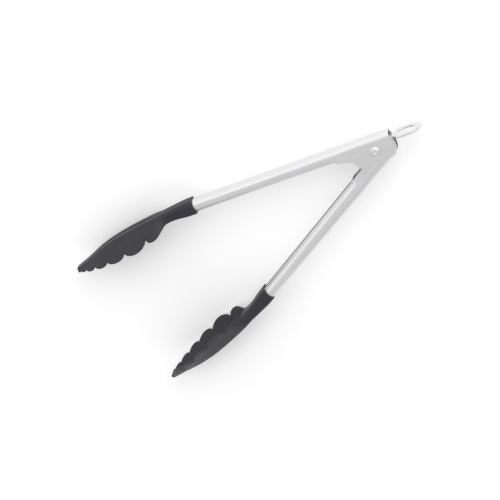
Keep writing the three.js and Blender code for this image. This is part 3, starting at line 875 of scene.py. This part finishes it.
def head_ring(s, tables, x):
    """One section of a head: back, shoulders, leaning wall, round rim, hollow inside."""
    at = {name: eased(stations, x) for name, stations in tables.items()}
    back, rim, back_half, rounding = at["back"], at["rim"], at["back_half"], at["rounding"]
    hollow = min(max(at["hollow"], 0), 1)
    lean = Vector((back - rim, back_half - at["rim_half"])).normalized()
    crest = Vector((rim, at["rim_half"])) + lean * scallop(s, x)
    wall = min(s.wall + (1 - hollow) * 2.2 * MM, crest.y * 0.62)
    floor = crest.x + (back - s.wall - crest.x) * hollow
    fall = (crest.x - floor) / (crest.x - back) if abs(crest.x - back) > TINY else 0
    floor_half = crest.y - wall + (back_half - crest.y) * fall
    floor_half = min(max(floor_half, 0.5 * MM), crest.y - wall - 0.05 * MM)
    bend = min(at["bend"], back_half * 0.6, (back - rim) * 0.4)
    ridge = max(back_half - bend * 2.2, 0.5 * MM)
    low = back - at["groove"]
    corners = [(low, 0), (low, max(ridge - 1 * MM, 0.2 * MM)), (back, ridge), (back, back_half)]
    corners += [tuple(crest), (crest.x, crest.y - wall), (floor, floor_half), (floor, 0)]
    radii = [0.6 * MM, 0.6 * MM, bend, rounding, min(rounding, wall * 0.4), 3.0 * MM]
    steps = 7
    half = rounded(corners, radii, steps)
    for corner in (5, 3):  # the two faces of the wall get points of their own
        last = corner * (steps + 1)
        between = [half[last].lerp(half[last + 1], t) for t in (0.06, 0.35, 0.65, 0.94)]
        half[last + 1 : last + 1] = between
    return [(-x, p.x, p.y) for p in half + mirrored(half[1:-1])]


def pocket(s):
    """Room for the end of the steel channel in the collar, in the arm frame."""
    side = s.handle_width / 2 + TUCK
    back, rim = s.back + TUCK, s.back - s.handle_depth - TUCK
    bends = [s.back_bend + TUCK, s.rim_bend + TUCK]
    half = rounded([(back, 0), (back, side), (rim, side), (rim, 0)], bends, 8)[1:-1]
    ring = half + mirrored(half)
    low, high = -(s.head_start + s.steel_in + TUCK), -(s.head_start - 1 * MM)
    return loft([[(x, p.x, p.y) for p in ring] for x in (low, high)])


ROUNDED_OVER = ((0, 0.22 * MM), (-3, 0.12 * MM), (-2, 0.4 * MM), (-1, 0.8 * MM))  # ring, inset


def make_head(s, name, lower):
    """One nylon head, moulded over the end of its arm."""
    tables = head_tables(s)
    neck = along(s, 0)
    places = [s.head_start, s.head_start + 0.25 * MM]
    places += [s.head_start + (neck - s.head_start) * i / 18 for i in range(1, 18)]
    steps = 22  # rings in each lobe, closer together at its valleys
    for low, high in zip(VALLEYS, VALLEYS[1:]):
        for i in range(steps):
            share = (1 - math.cos(math.pi * i / steps)) / 2
            places.append(along(s, low + (high - low) * share))
    places += [s.tip - 1 * MM, s.tip - 0.5 * MM, s.tip - 0.15 * MM, s.tip]
    rings = [head_ring(s, tables, x) for x in places]
    for k, edge in ROUNDED_OVER:
        spots = rings[k]
        middle = Vector((sum(p[1] for p in spots), sum(p[2] for p in spots))) / len(spots)
        rings[k] = [inward(p, middle, edge) for p in spots]
    head = mesh_object(name, *loft(rings))
    cut(head, mesh_object("pocket", *pocket(s), Matrix.Rotation(-SPLAY, 4, "Z")))
    cut(head, mesh_object("tang_room", *tang(s, TUCK)))
    smooth(head, angle=40, even=False)
    head.data.transform(head_place(lower))
    return head


def inward(point, middle, distance):
    """A ring point moved towards the ring's middle."""
    spot = Vector(point[1:])
    spot += (middle - spot).normalized() * distance
    return (point[0], spot.x, spot.y)


# ---- hinge hardware ----


def make_rivet(s):
    """Domed head with a punched dimple, shank, and a set tail."""
    face = s.handle_width / 2 + PIN_GAP
    tail = face + extent("rivet_burr", 2) + PIN_GAP
    low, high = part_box("pivot_rivet")
    top, foot = high.z - PIVOT.z, PIVOT.z - low.z
    edge = 0.5 * MM
    wide = s.rivet_radius
    dimple = wide * 0.3
    tail_r = wide * 0.84
    profile = [(0, -foot), (tail_r * 0.45, -foot), (tail_r * 0.72, -foot + 0.2 * MM)]
    profile += [(tail_r * 0.93, -foot + 0.6 * MM), (tail_r, -tail - 0.35 * MM)]
    profile += [(tail_r * 0.985, -tail), (s.pin_radius, -tail), (s.pin_radius, face)]
    profile += [(wide * 0.97, face), (wide, face + 0.15 * MM)]
    rise = top - face - edge
    shoulder = math.acos(dimple / wide)
    for i in range(13):
        angle = shoulder * i / 12
        height = rise * math.sin(angle) / math.sin(shoulder)
        profile.append((wide * math.cos(angle), face + edge + height))
    crown = profile[-1][1]
    profile += [(dimple * 0.82, crown - 0.06 * MM), (dimple * 0.6, crown - 0.35 * MM)]
    profile += [(dimple * 0.3, crown - 0.6 * MM), (0, crown - 0.68 * MM)]
    rivet = mesh_object("hinge_rivet", *lathe(profile, around=72), Matrix.Translation(PIVOT))
    smooth(rivet, angle=45, even=False)
    return rivet


def make_tube(s, name, node):
    """A washer or a bush round the shank, with softened edges, in the box of its node."""
    bottom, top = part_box(node)
    inner, outer = s.pin_radius + PIN_GAP, (top.x - bottom.x) / 2
    low, high = bottom.z - PIVOT.z, top.z - PIVOT.z
    edge = 0.12 * MM
    profile = [(inner + edge, low), (outer - edge, low), (outer, low + edge), (outer, high - edge)]
    profile += [(outer - edge, high), (inner + edge, high), (inner, high - edge), (inner, low + edge)]
    tube = mesh_object(name, *lathe(profile, around=72), Matrix.Translation(PIVOT))
    smooth(tube, angle=50, even=False)
    return tube


def make_spring(s):
    """Torsion spring: a coil round the bush, and a leg under the back of each arm."""
    leg_height = s.back - s.sheet - s.wire / 2 - s.slide_gap
    turns = 4
    low = -s.coil_height / 2
    leave = math.radians(18)  # before a half turn, where a wire runs off into its leg
    first = -math.pi / 2 - leave
    last = first + math.tau * turns + math.pi + 2 * leave
    steps = 150
    line = []
    for i in range(steps + 1):
        angle = first + (last - first) * i / steps
        x, y = s.coil_radius * math.cos(angle), s.coil_radius * math.sin(angle)
        line.append(Vector((x, y, low + s.coil_height * i / steps)))
    deeper = back_at(s, -s.leg_reach, True) - s.back
    bottom = Vector((*turned((-s.leg_reach, -leg_height - deeper), LEAN), low))
    top = Vector((*turned((-s.leg_reach, leg_height), -LEAN), -low))
    parts = 14  # lengths in a leg
    legs = [bottom.lerp(line[0], i / parts) for i in range(parts)]
    line = legs + line + [line[-1].lerp(top, i / parts) for i in range(1, parts + 1)]
    skin = wire_tube(line, s.wire / 2, around=14)
    spring = mesh_object("hinge_spring", *skin, Matrix.Translation(PIVOT))
    smooth(spring, angle=60, even=False)
    return spring


def wire_tube(line, radius, around):
    """Points and faces of a round wire along a line, with softened ends."""
    rings = []
    side = Vector((0, 0, 1))
    angles = [math.tau * i / around for i in range(around)]
    for spot, ahead in zip(line, headings(line)):
        side = (side - ahead * side.dot(ahead)).normalized()
        third = ahead.cross(side)
        rings.append([spot + (side * math.cos(a) + third * math.sin(a)) * radius for a in angles])

    def cap(ring, spot, beside):
        ahead = (beside - spot).normalized()
        return [spot - ahead * radius * 0.3 + (p - spot) * 0.7 for p in ring]

    first, last = cap(rings[0], line[0], line[1]), cap(rings[-1], line[-1], line[-2])
    return loft([first, *rings, last])


def slot_rings(s, edge):
    """Rings of the tool that cuts the loop's slot and rounds both of its edges."""
    end = s.slot_width / 2
    near, away = s.slot_start + end, s.slot_end - end
    face = s.tab_thickness / 2
    spots = [(face - edge + edge * math.sin(a), edge * (1 - math.cos(a))) for a in quarter(5)]
    spots.append((face + 1 * MM, edge + 0.5 * MM))
    whole = [(-z, grow) for z, grow in reversed(spots)] + spots
    rings = []
    for z, grow in whole:
        flat = arc(end + grow, math.pi / 2, 1.5 * math.pi, 24, (near, 0))
        flat += arc(end + grow, -math.pi / 2, math.pi / 2, 24, (away, 0))
        rings.append([(x, y, z) for x, y in flat])
    return rings


def make_tab(s):
    """Pull tab: a strip with two lugs in the arm and a slotted loop outside it."""
    ear_inner = s.handle_width / 2 - 2 * s.sheet - s.slide_gap
    neck = ear_inner - s.slide_gap
    lug = s.handle_width / 2 - s.sheet - s.slide_gap
    lug_end = LUG_START + LUG_LENGTH
    shoulder = s.lower_round + s.slide_gap + 0.7 * MM
    wide = s.loop_width / 2
    far = s.loop_end - wide
    half = [(LUG_START, lug), (lug_end, lug), (lug_end, neck), (shoulder, neck)]
    for i in range(1, 9):  # a curve from the neck out to the loop's width
        t = i / 8
        first, middle, last = (1 - t) ** 2, 2 * t * (1 - t), t * t
        x = first * shoulder + middle * (shoulder + 0.6 * MM) + last * (shoulder + 5 * MM)
        half.append((x, first * neck + middle * wide + last * wide))
    half += [(far + wide * math.sin(a), wide * math.cos(a)) for a in quarter(14)]
    outline = half + [(x, -z) for x, z in reversed(half[:-1])]
    tab = mesh_object("pull_tab", *slab(outline, -s.tab_thickness / 2, s.tab_thickness / 2))
    soften(tab, 0.3 * MM, segments=3)
    cut(tab, mesh_object("slot", *loft(slot_rings(s, edge=0.35 * MM))))
    smooth(tab, angle=40)
    stand = Matrix.Translation((0, s.tab_height, 0)) @ Matrix.Rotation(math.pi / 2, 4, "X")
    tab.data.transform(arm_place(False) @ stand)
    return tab


# ---- operators ----


class TONGS_OT_arms(bpy.types.Operator):
    """Make the two folded steel arms"""

    bl_idname = "tongs.arms"
    bl_label = "Arms"

    def execute(self, context):
        s = sizes()
        for lower, name in ((False, "upper"), (True, "lower")):
            arm = make_arm(s, name + "_arm_sheet", lower)
            angle = -LEAN if lower else LEAN
            label = name.title() + " Arm Steel"
            steel = steel_material(label, colours().steel, angle, roughness=0.36, line_depth=0.8)
            finished(arm, steel, name + "_half", "arm_steel", name + "_arm")
        return {"FINISHED"}


class TONGS_OT_heads(bpy.types.Operator):
    """Make the two scalloped nylon heads"""

    bl_idname = "tongs.heads"
    bl_label = "Heads"

    def execute(self, context):
        nylon = nylon_material()
        for lower, name in ((False, "upper"), (True, "lower")):
            head = make_head(sizes(), name + "_nylon_head", lower)
            finished(head, nylon, name + "_half", "nylon", name + "_head")
        return {"FINISHED"}


class TONGS_OT_rivet(bpy.types.Operator):
    """Make the rivet, its burr and the bush between the ears"""

    bl_idname = "tongs.rivet"
    bl_label = "Rivet, Burr and Bush"

    def execute(self, context):
        s = sizes()
        tone = colours().tab_steel
        bright = steel_material(
            "Rivet Steel", tone, 0.6, roughness=0.5, line_depth=0.15, fineness=2600.0
        )
        finished(make_rivet(s), bright, "upper_half", "rivet_steel", "pivot_rivet")
        washer = make_tube(s, "rivet_washer", "rivet_burr")
        finished(washer, bright, "upper_half", "rivet_steel", "rivet_burr")
        bush = make_tube(s, "hinge_bush", "pivot_sleeve")
        finished(bush, bright, "upper_half", "spring_steel", "pivot_sleeve")
        return {"FINISHED"}


class TONGS_OT_spring(bpy.types.Operator):
    """Make the torsion spring"""

    bl_idname = "tongs.spring"
    bl_label = "Torsion Spring"

    def execute(self, context):
        s = sizes()
        spring = make_spring(s)
        tone = colours().wire_steel
        wire = steel_material("Spring Wire", tone, 0.0, roughness=0.3, line_depth=0.2)
        finished(spring, wire, None, "spring_steel", "torsion_spring")
        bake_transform(spring)
        return {"FINISHED"}


class TONGS_OT_tab(bpy.types.Operator):
    """Make the pull tab with its hanging loop"""

    bl_idname = "tongs.tab"
    bl_label = "Pull Tab"

    def execute(self, context):
        tone = colours().tab_steel
        steel = steel_material("Tab Steel", tone, LEAN, roughness=0.26, line_depth=0.3)
        finished(make_tab(sizes()), steel, "pull_tab", "tab_steel", "lock_tab")
        return {"FINISHED"}


class TONGS_OT_stage(bpy.types.Operator):
    """Make the floor, the soft light and the camera"""

    bl_idname = "tongs.stage"
    bl_label = "Stage"

    def execute(self, context):
        make_floor()
        make_lights()
        make_camera()
        return {"FINISHED"}


def make_floor():
    """A wide plain floor under the tongs."""
    half = 6.0
    corners = [(-half, -half, 0), (half, -half, 0), (half, half, 0), (-half, half, 0)]
    mesh = bpy.data.meshes.new("floor")
    mesh.from_pydata(corners, [], [(0, 1, 2, 3)])
    mesh.materials.append(floor_material())
    floor = new_object("floor", mesh)


def soft_box(name, spot, aim, width, height, power):
    """A large soft light at a spot, aimed at a point."""
    light = bpy.data.lights.new(name, "AREA")
    light.shape = "RECTANGLE"
    light.size = width
    light.size_y = height
    light.energy = power
    made = new_object(name, light)
    made.location = spot
    made.rotation_euler = (Vector(aim) - Vector(spot)).to_track_quat("-Z", "Y").to_euler()


def make_lights():
    """A pale room and three large soft boxes: behind, to the left above, and by the loop."""
    world = bpy.data.worlds.new("Pale Room")
    world.use_nodes = True
    back = world.node_tree.nodes["Background"]
    back.inputs["Color"].default_value = (1, 1, 1, 1)
    back.inputs["Strength"].default_value = 0.72
    bpy.context.scene.world = world
    soft_box("wall_box", (0.1, 2.3, 0.75), (0, 0, 0.1), width=3.6, height=1.3, power=6)
    soft_box("sky_box", (-1.1, 1.55, 1.95), (0, 0, 0), width=3.2, height=1.8, power=9)
    soft_box("over_box", (1.6, 0.9, 1.7), (0, 0, 0), width=2.0, height=2.0, power=24)


CAMERA_SPOT = Vector((0.5760, 0.4419, 1.5696))
CAMERA_RIGHT = Vector((0.7695, -0.6280, -0.1162))
CAMERA_UP = Vector((0.5343, 0.7327, -0.4216))
CAMERA_LENS = 152.0  # mm
SENSOR = 36.0  # mm


def make_camera():
    """The camera, looking down on the tongs' side from past the hanging loop."""
    data = bpy.data.cameras.new("camera")
    data.lens = CAMERA_LENS
    data.sensor_width = SENSOR
    data.clip_start = 0.01
    data.clip_end = 50
    camera = new_object("camera", data)
    right = CAMERA_RIGHT.normalized()
    back = right.cross(CAMERA_UP).normalized()
    up = back.cross(right)
    axes = Matrix((right, up, back)).transposed().to_4x4()
    camera.matrix_world = Matrix.Translation(CAMERA_SPOT) @ axes
    bpy.context.scene.camera = camera
    bpy.context.scene.view_settings.view_transform = "Standard"


class TONGS_PT_panel(bpy.types.Panel):
    """Lists the tongs' pieces, sizes and colours"""

    bl_idname = "TONGS_PT_panel"
    bl_label = "Kitchen Tongs"
    bl_space_type = "VIEW_3D"
    bl_region_type = "UI"
    bl_category = "Tongs"

    def draw(self, context):
        for operator in OPERATORS:
            self.layout.operator(operator.bl_idname)
        for group in (sizes(), colours()):
            column = self.layout.column(align=True)
            for name in group.bl_rna.properties.keys():
                if name not in ("rna_type", "name"):
                    column.prop(group, name)


OPERATORS = (
    TONGS_OT_arms,
    TONGS_OT_heads,
    TONGS_OT_rivet,
    TONGS_OT_spring,
    TONGS_OT_tab,
    TONGS_OT_stage,
)
CLASSES = (TongsSizes, TongsColours, *OPERATORS, TONGS_PT_panel)


def register():
    for item in CLASSES:
        bpy.utils.register_class(item)
    bpy.types.Scene.tongs_sizes = PointerProperty(type=TongsSizes)
    bpy.types.Scene.tongs_colours = PointerProperty(type=TongsColours)


def unregister():
    del bpy.types.Scene.tongs_sizes
    del bpy.types.Scene.tongs_colours
    for item in reversed(CLASSES):
        bpy.utils.unregister_class(item)


def main():
    register()
    for operator in OPERATORS:
        group, name = operator.bl_idname.split(".")
        getattr(getattr(bpy.ops, group), name)()


if __name__ == "__main__":
    main()
